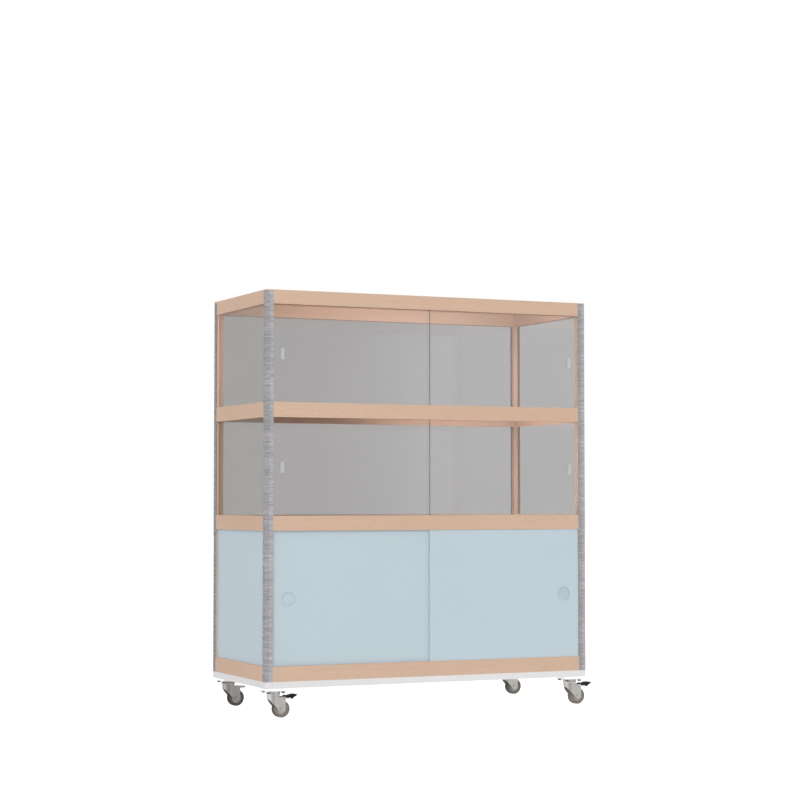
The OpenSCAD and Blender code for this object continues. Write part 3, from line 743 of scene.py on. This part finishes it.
def studio_sky():
    """World that is white to the camera, cards to glossy rays and a soft glow to the rest."""
    world = bpy.data.worlds.new("studio")
    scene.world = world
    world.use_nodes = True
    sky = world.node_tree

    def node(kind, settings=None, **inputs):
        return add_node(sky, kind, settings, **inputs)

    def smooth(value, low, high, to_low, to_high):
        made = node(
            "MapRange", {"interpolation_type": "SMOOTHSTEP"}, _0=value,
            _1=low, _2=high, _3=to_low, _4=to_high,
        )
        return made.outputs[0]

    split = node("SeparateXYZ", Vector=node("TexCoord").outputs["Generated"])
    x, y, z = split.outputs
    toward = node("Math", {"operation": "MULTIPLY"}, _0=y, _1=-1.0).outputs[0]
    azimuth = node("Math", {"operation": "ARCTAN2"}, _0=x, _1=toward).outputs[0]
    turn = node("MapRange", _0=azimuth, _1=-math.pi, _2=math.pi, _3=0.0, _4=1.0).outputs[0]
    cards = node("ValToRGB", Fac=turn)
    ramp = cards.color_ramp
    while len(ramp.elements) < len(CARDS):
        ramp.elements.new(0.5)
    for element, (degrees, _) in zip(ramp.elements, CARDS):
        element.position = (degrees + 180) / 360
    for element, (_, colour) in zip(ramp.elements, CARDS):
        element.color = (*colour, 1.0)

    # The cards turn to white far above and below the horizon
    steepness = node("Math", {"operation": "ABSOLUTE"}, _0=z).outputs[0]
    dome = node("Mix", {"data_type": "RGBA"}, _0=smooth(steepness, 0.35, 0.75, 0.0, 1.0))
    sky.links.new(cards.outputs[0], dome.inputs[6])
    dome.inputs[7].default_value = WHITE
    reflected = node("Background", Color=dome.outputs[2], Strength=1.0).outputs[0]

    # The glow is a little weaker from the left
    glow = smooth(x, -0.9, 0.1, 0.62, 0.64)
    ambient = node("Background", Color=WHITE, Strength=glow).outputs[0]
    backdrop = node("Background", Color=WHITE, Strength=1.0).outputs[0]
    rays = node("LightPath")
    lit = node("MixShader", _0=rays.outputs["Is Glossy Ray"], _1=ambient, _2=reflected).outputs[0]
    shown = node("MixShader", _0=rays.outputs["Is Camera Ray"], _1=lit, _2=backdrop).outputs[0]
    sky.links.new(shown, sky.nodes["World Output"].inputs["Surface"])


studio_sky()


def add_light(name, kind, power, toward):
    """A lamp that shines along a direction and doesn't show in glossy surfaces."""
    lamp = bpy.data.lights.new(name, kind)
    lamp.energy = power
    holder = bpy.data.objects.new(name, lamp)
    scene.collection.objects.link(holder)
    holder.rotation_euler = Vector(toward).to_track_quat("-Z", "Y").to_euler()
    holder.visible_glossy = False
    return holder


def add_fill(name, place, toward, size, power):
    """A weak soft light in a glazed bay, cooler than the wood, that no camera sees."""
    holder = add_light(name, "AREA", power, toward)
    holder.location = place
    holder.visible_camera = False
    holder.data.shape = "RECTANGLE"
    holder.data.size, holder.data.size_y = size
    holder.data.color = (0.93, 1.0, 1.07)
    return holder


# Strength and direction of two wide suns
SUNS = {"key": (2.37, (0.42, 0.90, -0.08)), "side": (0.72, (0.95, -0.05, -0.08))}
SUN_SPREAD = math.radians(45)
for name, (power, toward) in SUNS.items():
    add_light(name, "SUN", power, toward).data.angle = SUN_SPREAD

# Fills, so that the wood behind the tinted glass isn't lost: one just behind the doors of
# each glazed bay that shines to the back, and one low in the middle bay that shines up.
# Lengths in metres, powers in watts.
BACKWARD, UPWARD = (0, 1, 0), (0, 0, 1)
BEHIND_DOORS, ABOVE_SHELF = 0.02, 0.02
SHORTER = 0.04  # how much less high than the doors the fills behind them are
UPPER_SHIFT, UPPER_NARROWER = 0.05, 0.16
MIDDLE_X, MIDDLE_SIZE = 0.23, (0.52, 0.34)
SIDE_X, SIDE_WIDTH = 0.30, 0.30

low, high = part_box("upper_left_door")
far_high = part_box("upper_right_door")[1]
add_fill(
    "upper_fill",
    ((low.x + far_high.x) / 2 + UPPER_SHIFT, high.y + BEHIND_DOORS, (low.z + high.z) / 2),
    BACKWARD, (far_high.x - low.x - UPPER_NARROWER, high.z - low.z - SHORTER), power=2.75,
)
low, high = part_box("middle_left_door")
add_fill(
    "middle_fill", (MIDDLE_X, (high.y + back_low.y) / 2, low.z + ABOVE_SHELF),
    UPWARD, MIDDLE_SIZE, power=1.3,
).data.spread = math.radians(40)
add_fill(
    "middle_side_fill", (SIDE_X, high.y + BEHIND_DOORS, (low.z + high.z) / 2),
    BACKWARD, (SIDE_WIDTH, high.z - low.z - SHORTER), power=0.75,
)
